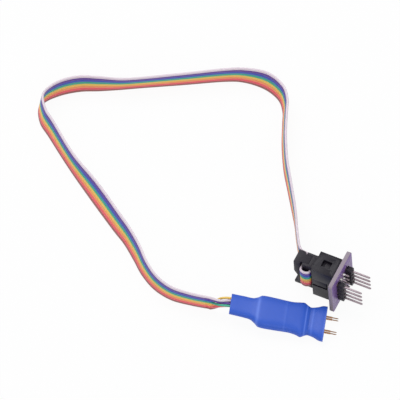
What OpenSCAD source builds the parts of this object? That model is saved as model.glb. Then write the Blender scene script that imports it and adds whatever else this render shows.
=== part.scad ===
// Target adapter with two pin strips, a rainbow ribbon cable that stands on its edge,
// and a four-contact spring probe head in a blue sleeve.
//
// All sizes are in millimetres. The origin is the middle of the adapter board's lower
// edge, +X is the way the adapter's pins point and +Z is up. Everything stands or lies
// on the plane z = 0. The ribbon leaves the socket on its +Y side.

/* [Contacts] */
// Distance from one pin of a row to the next
pitch = 2.54; // [2.4:0.01:2.7]
// Side of a square pin
pin_w = 0.64; // [0.5:0.02:0.66]
// Length of the taper at a pin's tip
pin_tip = 0.5; // [0.3:0.05:0.8]
// How far the taper draws in each side of a tip
pin_tip_inset = 0.15; // [0.1:0.01:0.2]

/* [Adapter board] */
// Thickness of the adapter's circuit board
board_t = 1.6; // [1:0.1:2.4]
// Width of the adapter's circuit board
board_w = 17.8; // [14:0.1:24]
// Radius of the board's corners
board_corner = 1; // [0.2:0.1:2]
// Bore of a plated hole
hole_d = 1; // [0.96:0.02:1.2]
// Thickness of the plating in a hole
plating = 0.05; // [0.03:0.01:0.1]
// Diameter of the copper ring round a hole
ring_d = 1.7; // [1.5:0.05:2]
// Height of a copper ring or pad above its board
pad_t = 0.05; // [0.03:0.01:0.1]
// Height of a solder joint above its ring
solder_h = 0.9; // [0.5:0.1:1.2]
// Distance of a solder joint's foot from the ring's edge
solder_inset = 0.05; // [0.02:0.01:0.1]

/* [Shrouded header] */
// Depth of the header from the board to its rim
header_h = 9.15; // [8:0.05:10]
// Width of the header
header_w = 8.9; // [8.6:0.1:10]
// Distance from the last pin of a row to the header's end
header_end = 5.08; // [4.8:0.01:6]
// Thickness of the header's floor
header_floor = 2.5; // [2:0.1:3]
// Thickness of the header's long walls
header_wall = 1.25; // [1:0.05:1.3]
// Thickness of the header's end walls
header_end_wall = 1.19; // [1:0.01:1.3]
// Width of the key slot in the front wall
slot_w = 4.4; // [4:0.1:5]
// Thickness of floor and wall left below the key slot and the windows
slot_floor = 2.8; // [2.5:0.1:3.2]
// Width of the window in each end wall
window_w = 3; // [2:0.1:4]
// Distance from the rim to a window
window_rim = 2.6; // [2:0.1:4]
// Length of a header pin inside the header's cavity
header_pin_in = 5.8; // [5:0.1:6]
// Length of a header pin beyond the board
header_pin_out = 2.4; // [1.5:0.1:4]
// Diameter of the round marks that the mould's pins leave
mark_d = 1.1; // [0.8:0.1:1.4]
// Depth of those marks
mark_depth = 0.1; // [0.05:0.05:0.2]

/* [Pin strips] */
// Distance between the two strips' rows
strip_rows = 7.62; // [7.4:0.02:8]
// Width and height of a strip's plastic
strip_w = 2.5; // [2.2:0.1:2.8]
// Chamfer between two cells of a strip
strip_chamfer = 0.35; // [0.2:0.05:0.6]
// Gap between the copper rings and the strip's plastic
strip_gap = 0.15; // [0.05:0.05:1]
// Length of a strip pin beyond the plastic
strip_pin_out = 7.35; // [5:0.05:12]

/* [Socket] */
// Length of the socket's body
socket_l = 7.3; // [7.1:0.05:8]
// Gap between the socket's face and the header's floor
seat_gap = 0.3; // [0.1:0.05:0.5]
// Gap between the socket and each long wall of the header
side_gap = 0.25; // [0.1:0.05:0.4]
// Gap between the socket and each end wall of the header
end_gap = 0.3; // [0.1:0.05:0.4]
// Gap above the key in its slot
key_gap = 0.15; // [0.1:0.05:0.3]
// Play below the key in its slot
key_play = 0.9; // [0.3:0.1:1.2]
// Distance that the key stops short of the header's outer face
key_inset = 0.1; // [0.05:0.05:0.4]
// Thickness of the contacts' sheet metal
contact_t = 0.2; // [0.15:0.01:0.25]
// Gap between a contact's beam and its pin
grip_gap = 0.06; // [0.04:0.01:0.1]
// Width of a contact's beams
beam_w = 0.8; // [0.6:0.05:0.9]
// Width of one tine of a contact's fork
tine_w = 0.33; // [0.25:0.01:0.36]
// Width of the slot between a fork's two tines
tine_slot = 0.3; // [0.25:0.01:0.35]
// Length of the tines beyond the ribbon
tine_out = 1.4; // [1:0.1:1.8]
// Clearance round a contact in plastic or insulation
contact_clear = 0.1; // [0.05:0.01:0.12]

/* [Cover and strain relief] */
// Height of the cover over the ribbon
cover_h = 2.9; // [2.6:0.1:3.4]
// Height of the strain relief over the ribbon
relief_h = 2.6; // [2.2:0.1:3.2]
// Thickness of the latch arms
arm_t = 0.8; // [0.6:0.05:0.9]
// Width of the cover's latch arms
cover_arm_w = 2.6; // [2:0.1:3.2]
// Width of the strain relief's latch arms
relief_arm_w = 3.8; // [3:0.1:4.4]
// Clearance round a latch arm
arm_clear = 0.1; // [0.05:0.01:0.15]
// Depth of the recess in the strain relief's back
relief_recess = 1.3; // [0.8:0.1:1.6]

/* [Ribbon] */
// Thickness of the ribbon's insulation
ribbon_t = 0.9; // [0.8:0.05:1]
// Gap between the ribbon's edges and the cover's feet
ribbon_gap = 0.17; // [0.1:0.01:0.3]
// How far the fold stands out in front of the socket
fold_out = 1.85; // [1.2:0.05:2.4]
// Diameter of a separated wire
wire_d = 0.9; // [0.8:0.02:0.96]

/* [Probe head] */
// Width of the sleeve at its mouth
head_w = 15; // [14.4:0.1:17]
// Height of the sleeve at its mouth
head_h = 4.8; // [4.6:0.1:6]
// Wall of the sleeve
sleeve_wall = 0.35; // [0.2:0.05:0.4]
// Thickness of the probe board
probe_board_t = 0.8; // [0.6:0.1:1]
// Width of the probe board's wide part
probe_board_w = 11.6; // [10:0.1:11.8]
// Width of the probe board's nose
nose_w = 9.2; // [8.2:0.1:9.8]
// Distance across the head between the probes
probe_rows = 6.1; // [5.6:0.1:6.6]

/* [Spring probes] */
// Outer diameter of a probe's barrel
barrel_d = 0.68; // [0.6:0.02:0.8]
// Length of a probe's barrel
barrel_l = 12.7; // [12:0.1:14]
// How far a barrel stands out of the sleeve
barrel_out = 2.2; // [1:0.1:3]
// Extra reach of the two front probes
barrel_step = 0.4; // [0:0.1:1]
// Wall of a barrel
barrel_wall = 0.06; // [0.04:0.01:0.08]
// Length of the rolled lip and of the closed end
barrel_lip = 0.4; // [0.2:0.1:0.8]
// Travel of a plunger
probe_travel = 2; // [1:0.1:2.1]
// Length of a plunger that still stands out when it is pressed home
plunger_left = 0.5; // [0.2:0.1:1.4]
// Length of a plunger's piston
piston_l = 4; // [3:0.1:5]
// Running clearance round a piston and a shaft
slide_clear = 0.02; // [0.01:0.005:0.03]
// Depth of the lip's shoulder that holds the piston in
lip_step = 0.03; // [0.02:0.005:0.05]
// Length of a plunger's conical tip
plunger_tip = 0.6; // [0.3:0.1:1]
// Thickness of the spring's wire
spring_wire = 0.1; // [0.06:0.01:0.12]

/* [Hidden] */

// How far a cutting solid reaches past the faces that it cuts
CUT = 1;
// Facets of a full circle, and the angle of one facet of the ribbon's fold
ROUND = 32;
FOLD_STEP = 12;

// Two rows of four contacts, and eight conductors at half their pitch
PINS_PER_ROW = 4;
CONDUCTORS = 2 * PINS_PER_ROW;
SIDES = [-1, 1];
conductor_pitch = pitch / 2;
ribbon_w = CONDUCTORS * conductor_pitch;

// Levels of the adapter along X
board_x0 = -board_t / 2;
board_x1 = board_t / 2;
header_rim = board_x0 - header_h;
header_cavity = board_x0 - header_floor;
solder_x0 = board_x1 + pad_t;
strip_x0 = solder_x0 + strip_gap;
strip_x1 = strip_x0 + strip_w;

// Heights: header, board, socket and ribbon share one middle
header_l = (PINS_PER_ROW - 1) * pitch + 2 * header_end;
mid_z = header_l / 2;
cavity_w = header_w - 2 * header_wall;
cavity_l = header_l - 2 * header_end_wall;

// Levels of the socket along X, from its mating face to the strain relief's back
socket_face = header_cavity - seat_gap;
crimp_x = socket_face - socket_l;
cover_x0 = crimp_x - ribbon_t;
cover_x1 = cover_x0 - cover_h;
upper_x = cover_x1 - ribbon_t;
relief_x1 = upper_x - relief_h;
socket_w = cavity_w - 2 * side_gap;
socket_half = cavity_l / 2 - end_gap;
feet_z = ribbon_w / 2 + ribbon_gap;

// Contacts inside the socket
beam_inset = 1.2;
bridge_height = 1.3;
beam_in = pin_w / 2 + grip_gap;
beam_out = beam_in + contact_t;
beam_x0 = socket_face - beam_inset;
beam_x1 = crimp_x + bridge_height;
bridge_t = 0.3;
tine_t = 0.3;
fork_w = 2 * tine_w + tine_slot;
fork_offset = conductor_pitch / 2;
tine_x1 = cover_x0 - tine_out;
lead_wall = 0.7;
slot_clear = contact_clear / 2;
fork_clear = contact_clear / 4;

// Latch arms of the cover and of the strain relief, and the key's step behind the face
latch_depth = 2.8;
relief_arm_l = 2.3;
relief_gap = 0.15;
key_lead = 0.4;
hook_l = 0.8;
hook_t = 0.3;
cover_arm_x = socket_face - latch_depth;
relief_arm_x = cover_x1 + relief_arm_l;
relief_feet_z = feet_z + relief_gap;

// Recess in the strain relief's back, below the middle
recess_top = 0.9;
recess_slope = 2.4;
recess_foot = 1.4;

// Mould marks on the header's upper end
MARKS = [[1.9, 2.6], [1.9, -2.6]];

// Ribbon's free stretch: straight out of the strain relief by the exit steps, then on
// through [x, y, lift, lean]. Lift is the height of the lower edge, lean the angle by
// which the upper edge leans left of the way that the ribbon runs.
exit_x = (cover_x1 + upper_x) / 2;
exit_y = socket_w / 2;
exit_lift = mid_z - ribbon_w / 2;
EXIT_STEPS = [0, 0.1, 0.2];
ROUTE = [
    [-15.22, 3.5, 3.8, 0], [-15.43, 3.8, 3.8, 0], [-15.82, 3.99, 3.8, 0],
    [-16.8, 4.1, 3.75, 0], [-18, 4.4, 3.7, 0], [-19.2, 5.2, 3.6, 0],
    [-20.4, 6.6, 3.5, 0], [-21.8, 8.7, 3.3, -1], [-25, 14, 2.4, -2], [-28, 19.3, 1.5, -3],
    [-31.4, 24.6, 0.8, -5], [-34.8, 29.7, 0.3, -6], [-38.1, 34.6, 0, -7],
    [-41.5, 39.6, 0, -8], [-44.6, 44.9, 0, -9], [-48.2, 52, 0, -10],
    [-51.6, 60, 0, -11], [-54, 65.4, 0, -12], [-58, 69.8, 0, -13],
    [-65, 72.2, 0, -12], [-73.4, 71.2, 0, -2], [-80.7, 68.2, 0, 3],
    [-94.5, 60.3, 0, 6], [-108.5, 52.4, 0, 9], [-115.6, 48.6, 0, 7],
    [-122.9, 45.5, 0, -1], [-130.2, 42.3, 0, -5], [-136.6, 37, 0, -2],
    [-140, 30.4, 0, 8], [-136.8, 24.2, 0, 14], [-130.6, 19.4, 0, 14],
    [-118, 9.8, 0, 12], [-104.4, 1.3, 0, 21], [-91, -7.6, 0, 20],
    [-84.3, -12, 0, 17], [-78, -17.1, 0, 16], [-72.3, -22.3, 0, 12],
    [-65.7, -26.5, 0, 6], [-58.1, -28.5, 0, 0], [-50, -27.9, 0, -4],
    [-44.5, -26.9, 0, -5]
];
RIBBON_STEPS = 2;
ribbon_chamfer = 0.25;

// Probe head: the middle of its mouth, its heading and how far its nose dips
head_x = 0.8;
head_y = -16.25;
head_heading = 14.5;
head_dip = 6;
head_z = head_h / 2;

// Sleeve's stations: [distance behind the mouth, sideways shift, how much narrower and
// how much lower than the mouth each half is]
STATIONS = [
    [36.9, 1.0, 3.2, 0.85], [32, 0.85, 3.1, 0.8], [28.6, 0.6, 2.95, 0.65],
    [26.8, 0.35, 2, 0.4], [25.2, 0.25, 0.85, 0.1], [20, 0.2, 0.8, -0.05],
    [13.5, 0.2, 1.05, -0.05], [10.5, 0.2, 0.6, 0], [8.8, 0, 0.2, 0.1],
    [7.3, 0, 1.1, 0.4], [6, 0, 1.55, 0.55], [3.6, 0.1, 1, 0.3],
    [1.7, 0.1, 0.15, 0.05], [0, 0.05, 0, 0]
];
SLEEVE_STEPS = 2;
SLEEVE_SIDES = 32;
SLEEVE_POWER = 3;
sleeve_skew = 0.05;

// Probe board inside the sleeve
board_back = -25.3;
board_neck = -8.4;
board_front = -3.5;
board_shift = 0.2;
board_top = probe_board_t / 2 + pad_t;

// Separated wires: [colour, conductor counted from the lower edge, middle of the free
// stretch across and up, entry into the sleeve across and up, pad across]
TAILS = [
    ["saddlebrown", 0, [1.05, -3.06], [3.51, -0.58], 2.3],
    ["red", 1, [0.1, -1.79], [0.36, -0.58], -2.2],
    ["darkorange", 2, [0.7, -0.74], [1.37, -0.58], -0.7],
    ["goldenrod", 3, [2.52, 0.09], [3.22, 0.58], 3.7],
    ["green", 4, [-0.51, 0.21], [-0.33, 0.58], -0.8],
    ["steelblue", 5, [1.5, -0.04], [2.37, -0.58], 0.75],
    ["mediumpurple", 6, [0.45, 0.46], [0.68, 0.58], 0.7],
    ["darkgray", 7, [0.64, 1.58], [2.08, 0.58], 2.2]
];
TAIL_STEPS = 3;
TAIL_SIDES = 8;
wire_lead = 1.05;
tail_middle = -41;
tail_entry = -36.9;
tail_neck = -31;
tail_rise = -26.2;
tail_end = -23.6;
wire_gap = 0.01;
wire_seat = board_top + wire_d / 2 + wire_gap;
core_d = 0.4;
core_l = 1;

// Pads and solder of the probe board
wire_pad = [2.4, 1.2];
barrel_pad = [4, 1.4];
barrel_pad_x = -6.6;
lump_h = 0.7;
fillet_h = 0.3;

// Probes: [which side across, which face of the board]
PROBES = [[-1, 1], [1, 1], [-1, -1], [1, -1]];
probe_z = board_top + barrel_d / 2;
bore_d = barrel_d - 2 * barrel_wall;
piston_d = bore_d - 2 * slide_clear;
lip_d = piston_d - 2 * lip_step;
shaft_d = lip_d - 2 * slide_clear;
spring_d = bore_d - 4 * slide_clear;
tip_end_d = 0.1;
plunger_out = probe_travel + plunger_left;
SPRING_TURNS = 10;
SPRING_SEGMENTS = 10;

function pin_z(i) = mid_z + (i - (PINS_PER_ROW - 1) / 2) * pitch;

// Point of the probe head's own frame, in the part's frame
function head_point(p) =
    let (along = p[0] * cos(head_dip) + p[2] * sin(head_dip))
    [
        head_x + along * cos(head_heading) - p[1] * sin(head_heading),
        head_y + along * sin(head_heading) + p[1] * cos(head_heading),
        head_z + p[2] * cos(head_dip) - p[0] * sin(head_dip)
    ];

// Smooth curve through points of any dimension, steps to each stretch
function curve_point(a, b, c, d, t) =
    0.5 * (2 * b + (c - a) * t + (2 * a - 5 * b + 4 * c - d) * t * t
        + (3 * b - a - 3 * c + d) * t * t * t);
function curve(points, steps) =
    let (last = len(points) - 1)
    concat(
        [for (i = [0:last - 1], k = [0:steps - 1])
            curve_point(
                i == 0 ? 2 * points[0] - points[1] : points[i - 1],
                points[i],
                points[i + 1],
                i == last - 1 ? 2 * points[last] - points[last - 1] : points[i + 2],
                k / steps
            )],
        [points[last]]
    );

// Direction of a list of points at one of them
function heading_at(points, i) =
    let (d = points[min(i + 1, len(points) - 1)] - points[max(i - 1, 0)]) d / norm(d);

// Faces of a tube that is closed at both ends, from rings of equally many points
function tube_faces(rings, sides) = concat(
    [[for (j = [sides - 1:-1:0]) j]],
    [for (i = [0:rings - 2], j = [0:sides - 1])
        let (k = (j + 1) % sides)
        each [
            [i * sides + j, (i + 1) * sides + k, (i + 1) * sides + j],
            [i * sides + j, i * sides + k, (i + 1) * sides + k]
        ]],
    [[for (j = [0:sides - 1]) (rings - 1) * sides + j]]
);

// Faces of a tube whose last ring meets its first, as on a pipe with a wall
function loop_faces(rings, sides) =
    [for (i = [0:rings - 1], j = [0:sides - 1])
        let (k = (j + 1) % sides, n = (i + 1) % rings)
        each [
            [i * sides + j, n * sides + j, n * sides + k],
            [i * sides + j, n * sides + k, i * sides + k]
        ]];

// Extrusions of an outline: in Y and Z along X, and in X and Y along Z
module along_x(x0, x1) {
    translate([x0, 0, 0])
        rotate([90, 0, 90])
            linear_extrude(x1 - x0)
                children();
}
module rod(x0, x1, d) {
    translate([x0, 0, 0])
        rotate([0, 90, 0])
            cylinder(h = x1 - x0, d = d, $fn = ROUND);
}
module block(x, y, z) {
    translate([x[0], y[0], z[0]])
        cube([x[1] - x[0], y[1] - y[0], z[1] - z[0]]);
}
module in_head() {
    translate([head_x, head_y, head_z])
        rotate([0, head_dip, head_heading])
            children();
}

// One place for each pin of a row
module at_pins(y) {
    for (i = [0:PINS_PER_ROW - 1]) {
        translate([0, y, pin_z(i)])
            children();
    }
}
module at_header_pins() {
    for (side = SIDES) {
        at_pins(side * pitch / 2)
            children();
    }
}
module at_strip_pins() {
    for (side = SIDES) {
        at_pins(side * strip_rows / 2)
            children();
    }
}

module square_pin(x0, x1) {
    half = pin_w / 2;
    tip = half - pin_tip_inset;
    outline = [
        [x0, -tip], [x0 + pin_tip, -half], [x1 - pin_tip, -half], [x1, -tip],
        [x1, tip], [x1 - pin_tip, half], [x0 + pin_tip, half], [x0, tip]
    ];
    intersection() {
        translate([0, 0, -half])
            linear_extrude(pin_w)
                polygon(outline);
        translate([0, half, 0])
            rotate([90, 0, 0])
                linear_extrude(pin_w)
                    polygon(outline);
    }
}
module pin_hole(x0, x1) {
    block([x0, x1], [-pin_w / 2, pin_w / 2], [-pin_w / 2, pin_w / 2]);
}
module solder_plug() {
    rod(board_x0, solder_x0, hole_d);
}
module solder_cone() {
    translate([solder_x0, 0, 0])
        rotate([0, 90, 0])
            cylinder(
                h = solder_h, d1 = ring_d - 2 * solder_inset, d2 = hole_d, $fn = ROUND
            );
}

module adapter_board() {
    color("#9a80b0")
        difference() {
            along_x(board_x0, board_x1)
                union() {
                    translate([-board_w / 2 + board_corner, 0])
                        square([board_w - 2 * board_corner, header_l]);
                    translate([-board_w / 2, board_corner])
                        square([board_w, header_l - 2 * board_corner]);
                    for (y = SIDES, z = [board_corner, header_l - board_corner]) {
                        translate([y * (board_w / 2 - board_corner), z])
                            circle(r = board_corner, $fn = ROUND);
                    }
                }
            at_header_pins()
                rod(board_x0 - CUT, board_x1 + CUT, hole_d + 2 * plating);
            at_strip_pins()
                rod(board_x0 - CUT, board_x1 + CUT, hole_d + 2 * plating);
        }
}

module plated_hole() {
    difference() {
        union() {
            rod(board_x0, board_x1, hole_d + 2 * plating);
            rod(board_x1, solder_x0, ring_d);
        }
        rod(board_x0 - CUT, solder_x0 + CUT, hole_d);
    }
}
module plated_holes() {
    color("gold") {
        at_header_pins()
            plated_hole();
        at_strip_pins()
            plated_hole();
    }
}

module box_header() {
    slot_x = board_x0 - slot_floor;
    color("#222426")
        difference() {
            block([header_rim, board_x0], [-header_w / 2, header_w / 2], [0, header_l]);
            block(
                [header_rim - CUT, header_cavity],
                [-cavity_w / 2, cavity_w / 2],
                [header_end_wall, header_l - header_end_wall]
            );
            block(
                [header_rim - CUT, slot_x],
                [-header_w / 2 - CUT, 0],
                [mid_z - slot_w / 2, mid_z + slot_w / 2]
            );
            block(
                [header_rim + window_rim, slot_x],
                [-window_w / 2, window_w / 2],
                [-CUT, header_l + CUT]
            );
            at_header_pins()
                pin_hole(header_cavity - CUT, board_x0 + CUT);
            for (mark = MARKS) {
                translate([board_x0 - mark[0], mark[1], header_l - mark_depth])
                    cylinder(h = CUT, d = mark_d, $fn = ROUND);
            }
        }
}

module header_pins() {
    color("silver")
        at_header_pins()
            square_pin(header_cavity - header_pin_in, board_x1 + header_pin_out);
}
// Joints of the header stand up round its pins, those of the strips fill their holes
module header_solder() {
    color("lightgray")
        at_header_pins()
            difference() {
                union() {
                    solder_plug();
                    solder_cone();
                }
                pin_hole(board_x0 - CUT, solder_x0 + solder_h + CUT);
            }
}
module strip_solder() {
    color("lightgray")
        at_strip_pins()
            difference() {
                solder_plug();
                pin_hole(board_x0 - CUT, solder_x0 + CUT);
            }
}

// A strip is a row of cells with chamfers between them
module pin_strip(side) {
    half = strip_w / 2;
    cell = pitch / 2;
    low = [for (i = [0:PINS_PER_ROW - 1], s = SIDES, inner = s < 0 ? [0, 1] : [1, 0])
        [half - (1 - inner) * strip_chamfer, pin_z(i) + s * (cell - inner * strip_chamfer)]];
    color("#222426")
        difference() {
            translate([0, side * strip_rows / 2, 0])
                along_x(strip_x0, strip_x1)
                    polygon(concat(
                        low,
                        [for (i = [len(low) - 1:-1:0]) [-low[i][0], low[i][1]]]
                    ));
            at_pins(side * strip_rows / 2)
                pin_hole(strip_x0 - CUT, strip_x1 + CUT);
        }
}
module pin_strip_front() {
    pin_strip(-1);
}
module pin_strip_back() {
    pin_strip(1);
}
module strip_pins(side) {
    color("#b7a9a2")
        at_pins(side * strip_rows / 2)
            square_pin(board_x0, strip_x1 + strip_pin_out);
}
module strip_pins_front() {
    strip_pins(-1);
}
module strip_pins_back() {
    strip_pins(1);
}

// One place for each contact; side gives its row and which conductor it reaches
module at_contacts() {
    for (side = SIDES, i = [0:PINS_PER_ROW - 1]) {
        translate([0, side * pitch / 2, pin_z(i)])
            mirror([0, 0, side > 0 ? 0 : 1])
                children();
    }
}
module contact_forks(x1, grow) {
    for (z = [-(tine_slot + tine_w) / 2, (tine_slot + tine_w) / 2]) {
        block(
            [x1, crimp_x],
            [-tine_t / 2 - grow, tine_t / 2 + grow],
            [fork_offset + z - tine_w / 2 - grow, fork_offset + z + tine_w / 2 + grow]
        );
    }
}
module contact_cavity() {
    block(
        [beam_x1 - bridge_t - contact_clear, socket_face - lead_wall],
        [-beam_out - contact_clear, beam_out + contact_clear],
        [-beam_w / 2 - contact_clear, fork_offset + fork_w / 2 + contact_clear]
    );
    block(
        [socket_face - lead_wall - CUT, socket_face + CUT],
        [-beam_in - contact_clear, beam_in + contact_clear],
        [-beam_in - contact_clear, beam_in + contact_clear]
    );
    block(
        [crimp_x - CUT, beam_x1],
        [-tine_t / 2 - slot_clear, tine_t / 2 + slot_clear],
        [fork_offset - fork_w / 2 - slot_clear, fork_offset + fork_w / 2 + slot_clear]
    );
}
module socket_contacts() {
    color("silver")
        at_contacts() {
            for (side = SIDES) {
                block(
                    [beam_x1, beam_x0],
                    side > 0 ? [beam_in, beam_out] : [-beam_out, -beam_in],
                    [-beam_w / 2, beam_w / 2]
                );
            }
            block(
                [beam_x1 - bridge_t, beam_x1],
                [-beam_out, beam_out],
                [-beam_w / 2, fork_offset + fork_w / 2]
            );
            block(
                [crimp_x, beam_x1 - bridge_t],
                [-tine_t / 2, tine_t / 2],
                [fork_offset - fork_w / 2, fork_offset + fork_w / 2]
            );
            contact_forks(tine_x1, 0);
        }
}

module socket_body() {
    arm_half = cover_arm_w / 2 + arm_clear;
    arm_in = socket_half - arm_t - arm_clear;
    color("#2b2d2f")
        difference() {
            union() {
                block(
                    [crimp_x, socket_face],
                    [-socket_w / 2, socket_w / 2],
                    [mid_z - socket_half, mid_z + socket_half]
                );
                block(
                    [header_rim, socket_face - key_lead],
                    [key_inset - header_w / 2, 0],
                    [mid_z - slot_w / 2 + key_play, mid_z + slot_w / 2 - key_gap]
                );
            }
            at_contacts()
                contact_cavity();
            translate([0, 0, mid_z])
                for (side = SIDES) {
                    mirror([0, 0, side > 0 ? 0 : 1]) {
                        block(
                            [crimp_x - CUT, cover_arm_x + arm_clear],
                            [-arm_half, arm_half],
                            [arm_in, socket_half + CUT]
                        );
                        block(
                            [cover_arm_x - hook_l - arm_clear, cover_arm_x + arm_clear],
                            [-arm_half, arm_half],
                            [arm_in - hook_t, socket_half]
                        );
                    }
                }
        }
}

module socket_cover() {
    color("#2b2d2f")
        difference() {
            union() {
                block(
                    [cover_x1, cover_x0],
                    [-socket_w / 2, socket_w / 2],
                    [mid_z - socket_half, mid_z + socket_half]
                );
                translate([0, 0, mid_z])
                    for (side = SIDES) {
                        mirror([0, 0, side > 0 ? 0 : 1]) {
                            block(
                                [cover_x0, crimp_x],
                                [-socket_w / 2, socket_w / 2],
                                [feet_z, socket_half]
                            );
                            block(
                                [crimp_x, cover_arm_x],
                                [-cover_arm_w / 2, cover_arm_w / 2],
                                [socket_half - arm_t, socket_half]
                            );
                            block(
                                [cover_arm_x - hook_l, cover_arm_x],
                                [-cover_arm_w / 2, cover_arm_w / 2],
                                [socket_half - arm_t - hook_t, socket_half]
                            );
                        }
                    }
            }
            at_contacts()
                contact_forks(tine_x1 - contact_clear, fork_clear);
            translate([0, 0, mid_z])
                for (side = SIDES) {
                    mirror([0, 0, side > 0 ? 0 : 1])
                        block(
                            [cover_x1 - CUT, relief_arm_x + arm_clear],
                            [-relief_arm_w / 2 - arm_clear, relief_arm_w / 2 + arm_clear],
                            [socket_half - arm_t - arm_clear, socket_half + CUT]
                        );
                }
        }
}

module strain_relief() {
    recess_x = relief_x1 + relief_recess;
    color("#2b2d2f")
        difference() {
            union() {
                block(
                    [relief_x1, upper_x],
                    [-socket_w / 2, socket_w / 2],
                    [mid_z - socket_half, mid_z + socket_half]
                );
                translate([0, 0, mid_z])
                    for (side = SIDES) {
                        mirror([0, 0, side > 0 ? 0 : 1]) {
                            block(
                                [upper_x, cover_x1],
                                [-relief_arm_w / 2, relief_arm_w / 2],
                                [relief_feet_z, socket_half]
                            );
                            block(
                                [cover_x1, relief_arm_x],
                                [-relief_arm_w / 2, relief_arm_w / 2],
                                [socket_half - arm_t, socket_half]
                            );
                        }
                    }
            }
            translate([0, socket_w / 2 + CUT, mid_z])
                rotate([90, 0, 0])
                    linear_extrude(socket_w + 2 * CUT)
                        polygon([
                            [relief_x1, recess_top],
                            [recess_x, recess_top - recess_slope],
                            [recess_x, recess_foot - socket_half],
                            [relief_x1 - CUT, recess_foot - socket_half],
                            [relief_x1 - CUT, recess_top]
                        ]);
        }
}

// Held stretch of the ribbon: pressed on the forks, folded round the cover in front
// and led back under the strain relief
module ribbon_fold() {
    y0 = -socket_w / 2;
    mid_x = (crimp_x + upper_x) / 2;
    outer = (crimp_x - upper_x) / 2;
    inner = outer - ribbon_t;
    color("gainsboro")
        difference() {
            translate([0, 0, mid_z - ribbon_w / 2])
                linear_extrude(ribbon_w)
                    polygon(concat(
                        [[crimp_x, exit_y]],
                        [for (a = [0:FOLD_STEP:180])
                            [mid_x + outer * cos(a), y0 - fold_out * sin(a)]],
                        [[upper_x, exit_y], [cover_x1, exit_y]],
                        [for (a = [180:-FOLD_STEP:0])
                            [mid_x + inner * cos(a), y0 - (fold_out - ribbon_t) * sin(a)]],
                        [[cover_x0, exit_y]]
                    ));
            at_contacts()
                translate([CUT, 0, 0])
                    contact_forks(cover_x0 - 2 * CUT, fork_clear);
        }
}

// Rings of the ribbon: its upper edge leans with the route's last value
function ribbon_stops() = curve(
    concat(
        [for (out = EXIT_STEPS) [exit_x, exit_y + out, exit_lift, 0]],
        ROUTE
    ),
    RIBBON_STEPS
);
function ribbon_middle(stop) =
    let (
        corner = (ribbon_t / 2 - ribbon_chamfer) * abs(sin(stop[3])),
        lift = max(stop[2], 0)
    )
    [stop[0], stop[1], lift + corner + ribbon_w / 2 * cos(stop[3])];
function ribbon_run(stops, i) = heading_at([for (s = stops) [s[0], s[1], 0]], i);
function ribbon_across(stops, i) =
    let (run = ribbon_run(stops, i), lean = stops[i][3])
    [-run[1] * sin(lean), run[0] * sin(lean), cos(lean)];
function ribbon_through(stops, i) = cross(ribbon_across(stops, i), ribbon_run(stops, i));
module ribbon_cable() {
    a = ribbon_w / 2;
    b = ribbon_t / 2;
    c = ribbon_chamfer;
    outline = [
        [a, c - b], [a, b - c], [a - c, b], [c - a, b],
        [-a, b - c], [-a, c - b], [c - a, -b], [a - c, -b]
    ];
    stops = ribbon_stops();
    color("gainsboro")
        polyhedron(
            points = [for (i = [0:len(stops) - 1], p = outline)
                ribbon_middle(stops[i]) + p[0] * ribbon_across(stops, i)
                    + p[1] * ribbon_through(stops, i)],
            faces = tube_faces(len(stops), len(outline)),
            convexity = 10
        );
}

// One separated wire, from the ribbon's end through the sleeve's neck to its pad
module tail(index) {
    tail_row = TAILS[index];
    stops = ribbon_stops();
    last = len(stops) - 1;
    start = ribbon_middle(stops[last])
        + (tail_row[1] - (CONDUCTORS - 1) / 2) * conductor_pitch * ribbon_across(stops, last);
    run = ribbon_run(stops, last);
    layer = sign(tail_row[3][1]);
    path = curve(
        [
            start,
            start + wire_lead * run,
            start + 2 * wire_lead * run,
            head_point([tail_middle, tail_row[2][0], tail_row[2][1]]),
            head_point([tail_entry, tail_row[3][0], tail_row[3][1]]),
            head_point([tail_neck, tail_row[3][0], tail_row[3][1]]),
            head_point([tail_rise, tail_row[4], layer * wire_seat]),
            head_point([tail_end, tail_row[4], layer * wire_seat])
        ],
        TAIL_STEPS
    );
    color(tail_row[0])
        polyhedron(
            points = [for (i = [0:len(path) - 1], j = [0:TAIL_SIDES - 1])
                let (
                    t = heading_at(path, i),
                    side = cross([0, 0, 1], t) / norm(cross([0, 0, 1], t)),
                    up = cross(t, side),
                    a = 360 * j / TAIL_SIDES
                )
                path[i] + wire_d / 2 * (cos(a) * up + sin(a) * side)],
            faces = tube_faces(len(path), TAIL_SIDES),
            convexity = 4
        );
}
module tail_brown() {
    tail(0);
}
module tail_red() {
    tail(1);
}
module tail_orange() {
    tail(2);
}
module tail_yellow() {
    tail(3);
}
module tail_green() {
    tail(4);
}
module tail_blue() {
    tail(5);
}
module tail_violet() {
    tail(6);
}
module tail_gray() {
    tail(7);
}

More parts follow.
